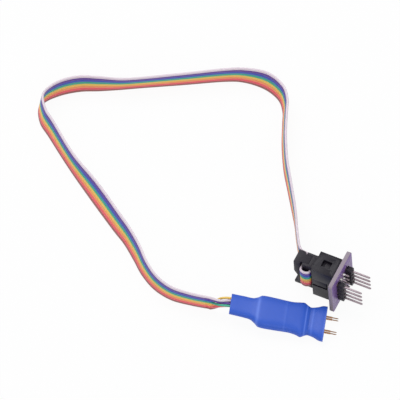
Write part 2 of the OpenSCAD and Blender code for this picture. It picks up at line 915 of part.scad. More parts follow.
// Sleeve's sections, smooth through the stations whatever their spacing
function station_slope(i) =
    let (a = STATIONS[max(i - 1, 0)], b = STATIONS[min(i + 1, len(STATIONS) - 1)])
    (b - a) / (b[0] - a[0]);
function sleeve_section(i, t) =
    let (
        a = STATIONS[i],
        b = STATIONS[i + 1],
        span = b[0] - a[0],
        t2 = t * t,
        t3 = t2 * t
    )
    (2 * t3 - 3 * t2 + 1) * a + (t3 - 2 * t2 + t) * span * station_slope(i)
        + (3 * t2 - 2 * t3) * b + (t3 - t2) * span * station_slope(i + 1);
function sleeve_sections() = concat(
    [for (i = [0:len(STATIONS) - 2], k = [0:SLEEVE_STEPS - 1])
        sleeve_section(i, k / SLEEVE_STEPS)],
    [STATIONS[len(STATIONS) - 1]]
);
function power(v) = sign(v) * pow(abs(v), 2 / SLEEVE_POWER);
function sleeve_ring(section, wall) =
    [for (j = [0:SLEEVE_SIDES - 1])
        let (
            a = 360 * j / SLEEVE_SIDES,
            across = section[1] + (head_w / 2 - section[2] - wall) * power(cos(a)),
            up = (head_h / 2 - section[3] - wall) * power(sin(a))
        )
        [-section[0] - sleeve_skew * across, across, up]];
module heat_shrink_sleeve() {
    sections = sleeve_sections();
    count = len(sections);
    rings = concat(
        [for (i = [0:count - 1]) sleeve_ring(sections[i], 0)],
        [for (i = [count - 1:-1:0]) sleeve_ring(sections[i], sleeve_wall)]
    );
    color("#4268d2")
        in_head()
            polyhedron(
                points = [for (ring = rings) each ring],
                faces = loop_faces(2 * count, SLEEVE_SIDES),
                convexity = 6
            );
}

module probe_board() {
    color("#9a80b0")
        in_head() {
            block(
                [board_back, board_neck],
                [board_shift - probe_board_w / 2, board_shift + probe_board_w / 2],
                [-probe_board_t / 2, probe_board_t / 2]
            );
            block(
                [board_neck - CUT, board_front],
                [-nose_w / 2, nose_w / 2],
                [-probe_board_t / 2, probe_board_t / 2]
            );
        }
}

// Everything on one face of the probe board, then the same on the other face
module on_face(face) {
    mirror([0, 0, face > 0 ? 0 : 1])
        children();
}
module at_wire_pads() {
    for (tail_row = TAILS) {
        on_face(tail_row[3][1])
            translate([tail_end, tail_row[4], probe_board_t / 2])
                children();
    }
}
module probe_pads() {
    color("gold")
        in_head() {
            at_wire_pads()
                translate([-wire_pad[0] / 4, -wire_pad[1] / 2, 0])
                    cube([wire_pad[0], wire_pad[1], pad_t]);
            for (probe = PROBES) {
                on_face(probe[1])
                    translate([
                        barrel_pad_x - barrel_pad[0] / 2,
                        probe[0] * probe_rows / 2 - barrel_pad[1] / 2,
                        probe_board_t / 2
                    ])
                        cube([barrel_pad[0], barrel_pad[1], pad_t]);
            }
        }
}
module tail_solder() {
    color("lightgray")
        in_head()
            at_wire_pads()
                translate([0, 0, pad_t]) {
                    translate([core_l, 0, 0])
                        cylinder(h = lump_h, d1 = wire_pad[1], d2 = core_d, $fn = ROUND);
                    translate([0, 0, wire_seat - board_top])
                        rod(0, core_l, core_d);
                }
}
module barrel_solder() {
    color("lightgray")
        in_head()
            for (probe = PROBES) {
                on_face(probe[1])
                    translate([barrel_pad_x, probe[0] * probe_rows / 2, board_top])
                        difference() {
                            translate([-barrel_pad[0] / 2, 0, 0])
                                along_x(0, barrel_pad[0])
                                    polygon([
                                        [-barrel_pad[1] / 2, 0],
                                        [barrel_pad[1] / 2, 0],
                                        [barrel_d / 2, fillet_h],
                                        [-barrel_d / 2, fillet_h]
                                    ]);
                            translate([0, 0, barrel_d / 2])
                                rod(-barrel_pad[0], barrel_pad[0], barrel_d);
                        }
            }
}

// A probe's own frame: its axis is X and the barrel's mouth is at x = 0
module in_probe(index) {
    probe = PROBES[index - 1];
    in_head()
        translate([
            barrel_out + (probe[0] < 0 ? barrel_step : 0),
            probe[0] * probe_rows / 2,
            probe[1] * probe_z
        ])
            children();
}
module probe_barrel(index) {
    color("#b8804a")
        in_probe(index)
            difference() {
                rod(-barrel_l, 0, barrel_d);
                rod(barrel_lip - barrel_l, -barrel_lip, bore_d);
                rod(-barrel_lip - CUT / 2, CUT, lip_d);
            }
}
module probe_plunger(index) {
    color("#8d8a86")
        in_probe(index) {
            rod(-barrel_lip - piston_l, -barrel_lip, piston_d);
            rod(-barrel_lip - CUT, plunger_out - plunger_tip, shaft_d);
            translate([plunger_out - plunger_tip, 0, 0])
                rotate([0, 90, 0])
                    cylinder(h = plunger_tip, d1 = shaft_d, d2 = tip_end_d, $fn = ROUND);
        }
}
module probe_spring(index) {
    x0 = barrel_lip - barrel_l + spring_wire / 2;
    x1 = -barrel_lip - piston_l - spring_wire / 2;
    r = (spring_d - spring_wire) / 2;
    h = spring_wire / 2;
    count = SPRING_TURNS * SPRING_SEGMENTS;
    color("silver")
        in_probe(index)
            polyhedron(
                points = [for (i = [0:count], corner = [[-h, -h], [-h, h], [h, h], [h, -h]])
                    let (a = 360 * i / SPRING_SEGMENTS)
                    [
                        x0 + (x1 - x0) * i / count + corner[0],
                        (r + corner[1]) * cos(a),
                        (r + corner[1]) * sin(a)
                    ]],
                faces = tube_faces(count + 1, 4),
                convexity = 10
            );
}
module probe_barrel_1() {
    probe_barrel(1);
}
module probe_barrel_2() {
    probe_barrel(2);
}
module probe_barrel_3() {
    probe_barrel(3);
}
module probe_barrel_4() {
    probe_barrel(4);
}
module probe_spring_1() {
    probe_spring(1);
}
module probe_spring_2() {
    probe_spring(2);
}
module probe_spring_3() {
    probe_spring(3);
}
module probe_spring_4() {
    probe_spring(4);
}
module probe_plunger_1() {
    probe_plunger(1);
}
module probe_plunger_2() {
    probe_plunger(2);
}
module probe_plunger_3() {
    probe_plunger(3);
}
module probe_plunger_4() {
    probe_plunger(4);
}

adapter_board();
plated_holes();
box_header();
header_pins();
header_solder();
pin_strip_front();
pin_strip_back();
strip_pins_front();
strip_pins_back();
strip_solder();
socket_body();
socket_contacts();
socket_cover();
strain_relief();
ribbon_fold();
ribbon_cable();
tail_gray();
tail_violet();
tail_blue();
tail_green();
tail_yellow();
tail_orange();
tail_red();
tail_brown();
heat_shrink_sleeve();
probe_board();
probe_pads();
tail_solder();
barrel_solder();
probe_barrel_1();
probe_barrel_2();
probe_barrel_3();
probe_barrel_4();
probe_spring_1();
probe_spring_2();
probe_spring_3();
probe_spring_4();
probe_plunger_1();
probe_plunger_2();
probe_plunger_3();
probe_plunger_4();
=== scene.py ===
"""Looks of the adapter cable: rainbow ribbon, blue sleeve, spring probes, connector and stage.

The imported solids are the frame. Every surface here is built round them, in metres.
"""

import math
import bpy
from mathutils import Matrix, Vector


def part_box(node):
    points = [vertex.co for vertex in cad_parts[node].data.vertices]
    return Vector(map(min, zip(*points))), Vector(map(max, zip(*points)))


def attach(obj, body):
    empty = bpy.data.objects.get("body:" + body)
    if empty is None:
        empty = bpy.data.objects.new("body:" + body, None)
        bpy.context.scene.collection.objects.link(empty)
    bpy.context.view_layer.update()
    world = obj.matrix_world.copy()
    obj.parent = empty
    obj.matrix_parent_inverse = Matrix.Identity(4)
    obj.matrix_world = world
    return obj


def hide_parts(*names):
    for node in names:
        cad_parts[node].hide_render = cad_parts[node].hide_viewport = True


bl_info = {
    "name": "Probe Cable Looks",
    "version": (1, 0, 0),
    "blender": (4, 5, 0),
    "location": "3D View > Sidebar > Probe Cable",
    "description": "Ribbon, sleeve, probes, connector and stage of a target adapter cable",
    "category": "Add Mesh",
}

import bmesh
import bpy
import numpy as np
from bpy.props import FloatProperty, FloatVectorProperty, PointerProperty
from mathutils import Matrix, Vector

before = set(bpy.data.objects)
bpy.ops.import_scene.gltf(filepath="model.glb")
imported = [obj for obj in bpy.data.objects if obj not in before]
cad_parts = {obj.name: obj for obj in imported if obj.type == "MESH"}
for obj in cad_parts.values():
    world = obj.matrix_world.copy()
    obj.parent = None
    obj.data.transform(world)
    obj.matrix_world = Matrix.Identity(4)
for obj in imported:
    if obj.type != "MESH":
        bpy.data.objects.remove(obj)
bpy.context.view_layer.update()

MM = 0.001
CABLE = "cable"
ADAPTER = "adapter"

# Square pins, how many stand in a row, the bore of the holes they are soldered in, and
# how many spring probes there are
PIN_WIDTH = 0.64 * MM
PINS_PER_ROW = 4
HOLE = 1 * MM
PROBES = 4

# Turned solder joints: radius at their poles, least radius of their side as a share of a
# pin's width, power of the side's hollow curve, its points, and the sides of the turning
POLE = 0.02 * MM
JOINT_WAIST = 0.72
JOINT_HOLLOW = 2.2
JOINT_POINTS = 12
JOINT_SIDES = 32

# Rounding of the board, the pins and the probes
BOARD_EASE = 0.08 * MM
PIN_EASE = 0.03 * MM
PROBE_EASE = 0.02 * MM

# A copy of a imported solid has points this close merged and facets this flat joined, and
# its edges are rounded past the next angle. Other pieces are sharp past the last one
MERGE_DISTANCE = 0.0005 * MM
FLAT_ANGLE = math.radians(1)
EASE_ANGLE = math.radians(35)
SHARP_ANGLE = math.radians(50)

# A face of the board is solder mask if its normal has at least this share along X
MASK_FACING = 0.9

# The ribbon's conductors from the lower edge up, and the colours of their insulation
COLOURS = ("brown", "red", "orange", "yellow", "green", "blue", "violet", "gray")
CONDUCTORS = len(COLOURS)

# Grids: samples across a conductor, steps from one point of a route to the next for the
# ribbon and for a wire, sides of a wire, and the fold's steps on each straight and points
# round its turn
SAMPLES = 8
RIBBON_STEPS = 10
WIRE_STEPS = 12
WIRE_SIDES = 24
FOLD_STRAIGHT = 12
FOLD_TURN = 41

# Half the thickness at the ribbon's two edges as a share of the whole, and the most that
# a leaning ribbon is lifted so that the corner of its lower edge clears the floor
RIM_SHARE = 0.12
LEAN_LIFT = 0.2 * MM

# Route of the ribbon's free stretch, in metres: x, y, height of the lower edge, and the
# lean in degrees of its upper edge to the left of the way it runs
ROUTE = (
    (-0.01522, 0.0035, 0.0038, 0), (-0.01543, 0.0038, 0.0038, 0),
    (-0.01582, 0.00399, 0.0038, 0), (-0.0168, 0.0041, 0.00375, 0),
    (-0.018, 0.0044, 0.0037, 0), (-0.0192, 0.0052, 0.0036, 0),
    (-0.0204, 0.0066, 0.0035, 0), (-0.0218, 0.0087, 0.0033, -1),
    (-0.025, 0.014, 0.0024, -2), (-0.028, 0.0193, 0.0015, -3),
    (-0.0314, 0.0246, 0.0008, -5), (-0.0348, 0.0297, 0.0003, -6),
    (-0.0381, 0.0346, 0, -7), (-0.0415, 0.0396, 0, -8),
    (-0.0446, 0.0449, 0, -9), (-0.0482, 0.052, 0, -10),
    (-0.0516, 0.06, 0, -11), (-0.054, 0.0654, 0, -12),
    (-0.058, 0.0698, 0, -13), (-0.065, 0.0722, 0, -12),
    (-0.0734, 0.0712, 0, -2), (-0.0807, 0.0682, 0, 3),
    (-0.0945, 0.0603, 0, 6), (-0.1085, 0.0524, 0, 9),
    (-0.1156, 0.0486, 0, 7), (-0.1229, 0.0455, 0, -1),
    (-0.1302, 0.0423, 0, -5), (-0.1366, 0.037, 0, -2),
    (-0.14, 0.0304, 0, 8), (-0.1368, 0.0242, 0, 14),
    (-0.1306, 0.0194, 0, 14), (-0.118, 0.0098, 0, 12),
    (-0.1044, 0.0013, 0, 21), (-0.091, -0.0076, 0, 20),
    (-0.0843, -0.012, 0, 17), (-0.078, -0.0171, 0, 16),
    (-0.0723, -0.0223, 0, 12), (-0.0657, -0.0265, 0, 6),
    (-0.0581, -0.0285, 0, 0), (-0.05, -0.0279, 0, -4),
    (-0.0445, -0.0269, 0, -5),
)

# First points of the free stretch, as distances out from the end of the fold
EXIT_STEPS = (0, 0.0001, 0.0002)

# Probe head: middle of its mouth, heading, and how far its nose dips
HEAD = Vector((0.0008, -0.01625, 0.0024))
HEAD_HEADING = math.radians(14.5)
HEAD_DIP = math.radians(6)
HEAD_TURN = Matrix.Rotation(HEAD_HEADING, 3, "Z") @ Matrix.Rotation(HEAD_DIP, 3, "Y")

# Sleeve's stations in millimetres: distance behind the mouth, sideways shift, and how
# much narrower and lower than the mouth each half is
STATIONS = (
    (36.9, 1.0, 3.2, 0.85), (32, 0.85, 3.1, 0.8), (28.6, 0.6, 2.95, 0.65),
    (26.8, 0.35, 2, 0.4), (25.2, 0.25, 0.85, 0.1), (20, 0.2, 0.8, -0.05),
    (13.5, 0.2, 1.05, -0.05), (10.5, 0.2, 0.6, 0), (8.8, 0, 0.2, 0.1),
    (7.3, 0, 1.1, 0.4), (6, 0, 1.55, 0.55), (3.6, 0.1, 1, 0.3),
    (1.7, 0.1, 0.15, 0.05), (0, 0.05, 0, 0),
)

# How far back a section runs for each step across, and the power of its superellipse
SLEEVE_SKEW = 0.05
SLEEVE_POWER = 3

# Ridges and hollows of the film in millimetres: distance behind the mouth, height,
# width, and how much painted highlight (above 0) or painted shade (below 0) their film gets
RIDGES = (
    (26.1, 0.05, 0.6, 0.4), (15.5, 0.04, 0.3, 0.12), (7.5, 0.09, 0.28, 0.4),
    (6.2, -0.08, 0.5, -0.35), (4.9, 0.07, 0.35, 0.25), (0.12, 0.03, 0.25, 0.3),
)

# Separated wires in millimetres, in the head's frame: middle of the free stretch across
# and up, entry into the sleeve across and up, and the pad's place across
TAILS = {
    "brown": ((1.05, -3.06), (3.51, -0.58), 2.3),
    "red": ((0.1, -1.79), (0.36, -0.58), -2.2),
    "orange": ((0.7, -0.74), (1.37, -0.58), -0.7),
    "yellow": ((2.52, 0.09), (3.22, 0.58), 3.7),
    "green": ((-0.51, 0.21), (-0.33, 0.58), -0.8),
    "blue": ((1.5, -0.04), (2.37, -0.58), 0.75),
    "violet": ((0.45, 0.46), (0.68, 0.58), 0.7),
    "gray": ((0.64, 1.58), (2.08, 0.58), 2.2),
}

# The same wires' stations along the head's axis, ahead of its mouth in millimetres
TAIL_STATIONS = {"middle": -41, "entry": -36.9, "neck": -31, "rise": -26.2, "end": -23.6}

# Height of a wire's soldered end over or under the probe board's middle in millimetres,
# and each of the two straight steps in which it leaves the ribbon
WIRE_SEAT = 0.91
WIRE_LEAD = 1.05 * MM

# Camera: the direction of its right edge and the direction back from its subject, the
# point that it is centred on, the width of its parallel view, and how far off it stands
CAMERA_RIGHT = Vector((0.905, 0.423, -0.040)).normalized()
CAMERA_BACK = Vector((0.254, -0.462, 0.850)).normalized()
CAMERA_TARGET = Vector((-0.0591, 0.00158, 0.0273))
VIEW_WIDTH = 0.15238
CAMERA_DISTANCE = 2

# Floor: half its side, and its share of white for the rays that see it
FLOOR_HALF = 3
FLOOR_WHITE = 0.94

# Finish: the painted highlight on a rounded edge is this many times the plastic's colour,
# plus this. A metal's roughness runs between these shares of its mean. Ribbon and wires have the
# same grain
HIGHLIGHT_GAIN = 2
HIGHLIGHT_LIFT = 0.008
ROUGHNESS_SPREAD = (0.8, 1.25)
INSULATION_ROUGHNESS = 0.36
INSULATION_GRAIN = {
    "distance": 0.01 * MM, "strength": 0.4, "Fine_scale": 9000, "Peel_scale": 700,
}


# ---------------------------------------------------------------- settings


def colour_property(name, description, default):
    """A colour that a user may change."""
    return FloatVectorProperty(
        name=name, description=description, subtype="COLOR", default=default
    )


class RibbonSettings(bpy.types.PropertyGroup):
    thickness: FloatProperty(
        name="Thickness", description="Ribbon's thickness over a conductor",
        default=0.9 * MM, unit="LENGTH", precision=5,
    )
    groove: FloatProperty(
        name="Groove", description="Depth of the groove between two conductors, as a share",
        default=0.42, min=0, max=0.8,
    )
    wire: FloatProperty(
        name="Wire", description="Diameter of a separated wire",
        default=0.9 * MM, unit="LENGTH", precision=5,
    )
    brown: colour_property("Brown", "Insulation of the first conductor", (0.36, 0.14, 0.13))
    red: colour_property("Red", "Insulation of the second conductor", (0.88, 0.12, 0.16))
    orange: colour_property("Orange", "Insulation of the third conductor", (0.95, 0.33, 0.13))
    yellow: colour_property("Yellow", "Insulation of the fourth conductor", (0.86, 0.58, 0.11))
    green: colour_property("Green", "Insulation of the fifth conductor", (0.05, 0.42, 0.27))
    blue: colour_property("Blue", "Insulation of the sixth conductor", (0.05, 0.10, 0.50))
    violet: colour_property("Violet", "Insulation of the seventh conductor", (0.12, 0.045, 0.32))
    gray: colour_property("Gray", "Insulation of the eighth conductor", (0.74, 0.64, 0.72))


class SleeveSettings(bpy.types.PropertyGroup):
    wall: FloatProperty(
        name="Wall", description="Wall of the shrunk sleeve",
        default=0.35 * MM, unit="LENGTH", precision=5,
    )
    width: FloatProperty(
        name="Width", description="Width of the sleeve's mouth",
        default=15 * MM, unit="LENGTH",
    )
    height: FloatProperty(
        name="Height", description="Height of the sleeve's mouth",
        default=4.8 * MM, unit="LENGTH",
    )
    colour: colour_property("Colour", "Relaxed film", (0.026, 0.10, 0.56))
    # The next two colours are a painted highlight on the film's ridges and painted shade in the
    # hollow behind the mouth
    ridge_highlight: colour_property("Highlight", "Film drawn tight over an edge", (0.10, 0.20, 0.74))
    hollow_shade: colour_property("Shade", "Film in the hollow behind the mouth", (0.022, 0.085, 0.46))


class ConnectorSettings(bpy.types.PropertyGroup):
    edge: FloatProperty(
        name="Edge", description="Rounding of the moulded edges",
        default=0.12 * MM, unit="LENGTH", precision=5,
    )
    header: colour_property(
        "Header", "Plastic of the header and the pin strips", (0.011, 0.009, 0.016)
    )
    socket: colour_property(
        "Socket", "Plastic of the socket, its cover and its clamp", (0.013, 0.010, 0.018)
    )
    mask: colour_property("Solder mask", "Coating of both boards", (0.20, 0.115, 0.33))
    laminate: colour_property("Laminate", "Cut edges of the adapter board", (0.30, 0.25, 0.30))


class MetalSettings(bpy.types.PropertyGroup):
    pin: colour_property("Pin", "Tinned pins", (0.40, 0.33, 0.36))
    solder: colour_property("Solder", "Solder joints", (0.62, 0.60, 0.62))
    plating: colour_property("Plating", "Plated holes, pads and contacts", (0.80, 0.62, 0.30))
    barrel: colour_property("Barrel", "Barrels of the spring probes", (0.42, 0.22, 0.11))
    plunger: colour_property("Plunger", "Plungers of the spring probes", (0.34, 0.20, 0.12))
    spring: colour_property("Spring", "Springs in the probes", (0.6, 0.6, 0.6))


class StageSettings(bpy.types.PropertyGroup):
    floor: colour_property("Floor", "Floor under the cable", (0.82, 0.82, 0.83))
    key: FloatProperty(name="Key", description="Power of the key light", default=3.6)
    fill: FloatProperty(name="Fill", description="Power of the fill light", default=2.4)
    world: FloatProperty(name="World", description="Strength of the sky", default=0.55)


SETTINGS = {
    "cable_ribbon": RibbonSettings,
    "cable_sleeve": SleeveSettings,
    "cable_connector": ConnectorSettings,
    "cable_metal": MetalSettings,
    "cable_stage": StageSettings,
}


# ---------------------------------------------------------------- geometry


def catmull(points, steps):
    """Smooth curve through points: on each stretch, the cubic whose slope at a point is
    half the step from its neighbour before to its neighbour after."""
    before = np.vstack([2 * points[0] - points[1], points[:-2]])
    after = np.vstack([points[2:], 2 * points[-1] - points[-2]])
    start, end = points[:-1], points[1:]
    t = (np.arange(steps) / steps)[None, :, None]
    a, b, c, d = (p[:, None, :] for p in (before, start, end, after))
    curve = 0.5 * (
        2 * b + (c - a) * t + (2 * a - 5 * b + 4 * c - d) * t**2
        + (3 * b - a - 3 * c + d) * t**3
    )
    return np.vstack([curve.reshape(-1, points.shape[1]), points[-1:]])


def bump(value, middle, width):
    """Bell curve of height 1 about a middle."""
    return np.exp(-(((value - middle) / width) ** 2))


def directions(points):
    """Unit step from each point's neighbour before to its neighbour after."""
    step = np.empty_like(points)
    step[1:-1] = points[2:] - points[:-2]
    step[0] = points[1] - points[0]
    step[-1] = points[-1] - points[-2]
    return step / np.linalg.norm(step, axis=1, keepdims=True)


def grid_faces(rows, columns, close_rows=False):
    """Quads of a grid whose columns wrap round, and whose rows do if asked."""
    i = np.arange(rows if close_rows else rows - 1)[:, None]
    j = np.arange(columns)[None, :]
    k = (j + 1) % columns
    n = (i + 1) % rows
    quads = np.stack(
        [i * columns + j, i * columns + k, n * columns + k, n * columns + j], axis=-1
    )
    return quads.reshape(-1, 4)


def grid_object(name, points, close_rows=False, uv=None, attribute=None):
    """Object from an array of rings, rows by columns by 3: a closed shell if the rows wrap
    round, or a tube with flat ends."""
    rows, columns = points.shape[:2]
    faces = grid_faces(rows, columns, close_rows).tolist()
    if not close_rows:
        faces.append(list(range(columns))[::-1])
        faces.append(list(range((rows - 1) * columns, rows * columns)))
    mesh = bpy.data.meshes.new(name)
    mesh.from_pydata(points.reshape(-1, 3).tolist(), [], faces)
    if uv is not None:
        corners = np.empty(len(mesh.loops), dtype=np.int32)
        mesh.loops.foreach_get("vertex_index", corners)
        layer = mesh.uv_layers.new(name="UVMap")
        layer.data.foreach_set("uv", uv.reshape(-1, 2)[corners].astype(np.float32).ravel())
    if attribute is not None:
        label, values = attribute
        data = mesh.attributes.new(label, "FLOAT", "POINT")
        data.data.foreach_set("value", values.astype(np.float32).ravel())
    made = bpy.data.objects.new(name, mesh)
    bpy.context.scene.collection.objects.link(made)
    outward(made)
    mesh.shade_smooth()
    mesh.set_sharp_from_angle(angle=SHARP_ANGLE)
    return made


def outward(made):
    """Turns every face of a closed mesh to the outside."""
    shell = bmesh.new()
    shell.from_mesh(made.data)
    bmesh.ops.recalc_face_normals(shell, faces=shell.faces)
    if shell.calc_volume(signed=True) < 0:
        bmesh.ops.reverse_faces(shell, faces=shell.faces)
    shell.to_mesh(made.data)
    shell.free()


def tube_rings(path, radius, sides):
    """Rings of a round tube: at each point of the path, a circle across its direction."""
    run = directions(path)
    side = np.cross([0, 0, 1], run)
    side /= np.linalg.norm(side, axis=1, keepdims=True)
    up = np.cross(run, side)
    turn = np.linspace(0, 2 * math.pi, sides, endpoint=False)[None, :, None]
    return path[:, None, :] + radius * (
        np.cos(turn) * up[:, None, :] + np.sin(turn) * side[:, None, :]
    )


def lathe_rings(profile, origin, sides):
    """Rings of a turned shape: each profile point (along, radius) becomes a circle about
    a line along X through the origin."""
    along = np.array([p[0] for p in profile])[:, None]
    radius = np.array([p[1] for p in profile])[:, None]
    turn = np.linspace(0, 2 * math.pi, sides, endpoint=False)[None, :]
    local = np.stack(
        [along + 0 * turn, radius * np.cos(turn), radius * np.sin(turn)], axis=-1
    )
    return local + np.array(origin)


def head_points(local):
    """Points of the probe head's frame, in millimetres, carried to the part's frame."""
    return np.array(local, float) * MM @ np.array(HEAD_TURN).T + np.array(HEAD)


def ribbon_section(width, thickness, groove, samples):
    """Outline of the ribbon across and through it. Half the thickness falls from the
    middle of a conductor to the groove beside it as the cube of a sine, and is a thin
    rim at the two edges."""
    count = CONDUCTORS * samples
    across = (np.arange(count + 1) / count - 0.5) * width
    pitch = width / CONDUCTORS
    phase = np.mod(across / pitch + CONDUCTORS / 2, 1) - 0.5
    half = thickness / 2 * (1 - groove * np.abs(np.sin(math.pi * phase)) ** 3)
    half[[0, -1]] = thickness * RIM_SHARE
    upper = np.stack([across, half], axis=-1)
    lower = np.stack([across, -half], axis=-1)[::-1]
    return np.vstack([upper, lower])


def ribbon_rings(middle, across, through, section):
    """Rings of the ribbon: the outline set on each middle point's two directions."""
    return (
        middle[:, None, :]
        + section[None, :, :1] * across[:, None, :]
        + section[None, :, 1:] * through[:, None, :]
    )


def ribbon_uv(middle, section, width):
    """U is the length along the ribbon in metres, V runs across it from 0 to 1."""
    step = np.linalg.norm(np.diff(middle, axis=0), axis=1)
    along = np.concatenate([[0], np.cumsum(step)])
    v = section[:, 0] / width + 0.5
    return np.stack(np.broadcast_arrays(along[:, None], v[None, :]), axis=-1)


def free_ribbon(steps, width, thickness):
    """Middle, across and through directions of the free ribbon along its route."""
    low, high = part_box("ribbon_fold")
    exit_x = low.x + thickness / 2
    start = [[exit_x, high.y + out, low.z, 0] for out in EXIT_STEPS]
    stops = catmull(np.vstack([start, ROUTE]), steps)
    lean = np.radians(stops[:, 3])
    flat = stops[:, :3] * [1, 1, 0]
    run = directions(flat)
    across = np.stack(
        [-run[:, 1] * np.sin(lean), run[:, 0] * np.sin(lean), np.cos(lean)], axis=-1
    )
    lift = np.maximum(stops[:, 2], 0) + width / 2 * np.cos(lean)
    lift += LEAN_LIFT * np.abs(np.sin(lean))
    middle = np.stack([stops[:, 0], stops[:, 1], lift], axis=-1)
    return middle, across, np.cross(across, run), run


# ---------------------------------------------------------------- materials


def socket_of(group, name, kind, way, value=None):
    """Gives a node group an input or output, and an input its default."""
    made = group.interface.new_socket(name=name, in_out=way, socket_type=kind)
    if value is not None:
        made.default_value = value


def link(tree, source, target):
    """Joins an output to an input."""
    tree.links.new(source, target)


def mottle_group():
    """Node group: a colour whose value drifts over the surface with a fine noise."""
    group = bpy.data.node_groups.get("Soft mottle")
    if group:
        return group
    group = bpy.data.node_groups.new("Soft mottle", "ShaderNodeTree")
    socket_of(group, "Color", "NodeSocketColor", "INPUT")
    socket_of(group, "Amount", "NodeSocketFloat", "INPUT", 0.1)
    socket_of(group, "Scale", "NodeSocketFloat", "INPUT", 200)
    socket_of(group, "Color", "NodeSocketColor", "OUTPUT")
    nodes = group.nodes
    inside = nodes.new("NodeGroupInput")
    outside = nodes.new("NodeGroupOutput")
    place = nodes.new("ShaderNodeTexCoord")
    noise = nodes.new("ShaderNodeTexNoise")
    noise.inputs["Detail"].default_value = 5
    noise.inputs["Roughness"].default_value = 0.62
    centred = nodes.new("ShaderNodeMath")
    centred.operation = "SUBTRACT"
    centred.inputs[1].default_value = 0.5
    scaled = nodes.new("ShaderNodeMath")
    scaled.operation = "MULTIPLY"
    raised = nodes.new("ShaderNodeMath")
    raised.operation = "ADD"
    raised.inputs[1].default_value = 1
    tone = nodes.new("ShaderNodeHueSaturation")
    link(group, place.outputs["Object"], noise.inputs["Vector"])
    link(group, inside.outputs["Scale"], noise.inputs["Scale"])
    link(group, noise.outputs[0], centred.inputs[0])
    link(group, centred.outputs[0], scaled.inputs[0])
    link(group, inside.outputs["Amount"], scaled.inputs[1])
    link(group, scaled.outputs[0], raised.inputs[0])
    link(group, raised.outputs[0], tone.inputs["Value"])
    link(group, inside.outputs["Color"], tone.inputs["Color"])
    link(group, tone.outputs["Color"], outside.inputs["Color"])
    return group


def grain_group():
    """Node group: the height of a fine grain over a soft orange peel."""
    group = bpy.data.node_groups.get("Moulded grain")
    if group:
        return group
    group = bpy.data.node_groups.new("Moulded grain", "ShaderNodeTree")
    socket_of(group, "Fine scale", "NodeSocketFloat", "INPUT", 9000)
    socket_of(group, "Peel scale", "NodeSocketFloat", "INPUT", 900)
    socket_of(group, "Peel share", "NodeSocketFloat", "INPUT", 0.5)
    socket_of(group, "Height", "NodeSocketFloat", "OUTPUT")
    nodes = group.nodes
    inside = nodes.new("NodeGroupInput")
    outside = nodes.new("NodeGroupOutput")
    place = nodes.new("ShaderNodeTexCoord")
    fine = nodes.new("ShaderNodeTexNoise")
    peel = nodes.new("ShaderNodeTexNoise")
    peel.inputs["Detail"].default_value = 2
    mixed = nodes.new("ShaderNodeMix")
    for noise, scale in ((fine, "Fine scale"), (peel, "Peel scale")):
        link(group, place.outputs["Object"], noise.inputs["Vector"])
        link(group, inside.outputs[scale], noise.inputs["Scale"])
    link(group, inside.outputs["Peel share"], mixed.inputs["Factor"])
    link(group, fine.outputs[0], mixed.inputs["A"])
    link(group, peel.outputs[0], mixed.inputs["B"])
    link(group, mixed.outputs["Result"], outside.inputs["Height"])
    return group


def new_material(name, roughness, metallic=0.0):
    """A fresh material with one Principled BSDF; constants sit on its own sockets."""
    made = bpy.data.materials.new(name)
    made.use_nodes = True
    shader = made.node_tree.nodes["Principled BSDF"]
    shader.inputs["Roughness"].default_value = roughness
    shader.inputs["Metallic"].default_value = metallic
    return made, made.node_tree, shader


def place_group(tree, group, **values):
    """Puts a node group in a material with its own values."""
    node = tree.nodes.new("ShaderNodeGroup")
    node.node_tree = group
    for name, value in values.items():
        node.inputs[name.replace("_", " ")].default_value = value
    return node


def add_grain(tree, shader, distance, strength, **values):
    """Feeds the moulded grain's height through a bump into the shader's normal."""
    grain = place_group(tree, grain_group(), **values)
    relief = tree.nodes.new("ShaderNodeBump")
    relief.inputs["Distance"].default_value = distance
    relief.inputs["Strength"].default_value = strength
    link(tree, grain.outputs["Height"], relief.inputs["Height"])
    link(tree, relief.outputs["Normal"], shader.inputs["Normal"])


def add_mottle(tree, colour, target, amount, scale):
    """Feeds a mottled colour into a socket. The colour is a triple or a node's output."""
    mottle = place_group(tree, mottle_group(), Amount=amount, Scale=scale)
    if isinstance(colour, bpy.types.NodeSocket):
        link(tree, colour, mottle.inputs["Color"])
    else:
        mottle.inputs["Color"].default_value = (*colour, 1)
    link(tree, mottle.outputs["Color"], target)


def moulded_plastic(name, colour, roughness):
    """Dark moulded plastic with a fine grain."""
    made, tree, shader = new_material(name, roughness)
    shader.inputs["Specular IOR Level"].default_value = 0.3
    add_mottle(tree, colour, shader.inputs["Base Color"], amount=0.5, scale=900)
    add_grain(
        tree, shader, distance=0.012 * MM, strength=0.5, Fine_scale=14000, Peel_scale=1800
    )
    return made


def highlighted_edge(name, colour):
    """The same plastic on a rounded edge with a painted highlight: paler and smoother."""
    paler = [min(1, HIGHLIGHT_GAIN * c + HIGHLIGHT_LIFT) for c in colour]
    return moulded_plastic(name, paler, roughness=0.34)


def plain_metal(name, colour, roughness, scale=700, unevenness=0.15):
    """Plated or soldered metal with uneven tone and roughness."""
    made, tree, shader = new_material(name, roughness, metallic=1)
    add_mottle(tree, colour, shader.inputs["Base Color"], unevenness, scale)
    place = tree.nodes.new("ShaderNodeTexCoord")
    noise = tree.nodes.new("ShaderNodeTexNoise")
    noise.inputs["Scale"].default_value = scale
    spread = tree.nodes.new("ShaderNodeMapRange")
    spread.inputs["To Min"].default_value = roughness * ROUGHNESS_SPREAD[0]
    spread.inputs["To Max"].default_value = min(1, roughness * ROUGHNESS_SPREAD[1])
    link(tree, place.outputs["Object"], noise.inputs["Vector"])
    link(tree, noise.outputs[0], spread.inputs["Value"])
    link(tree, spread.outputs["Result"], shader.inputs["Roughness"])
    return made


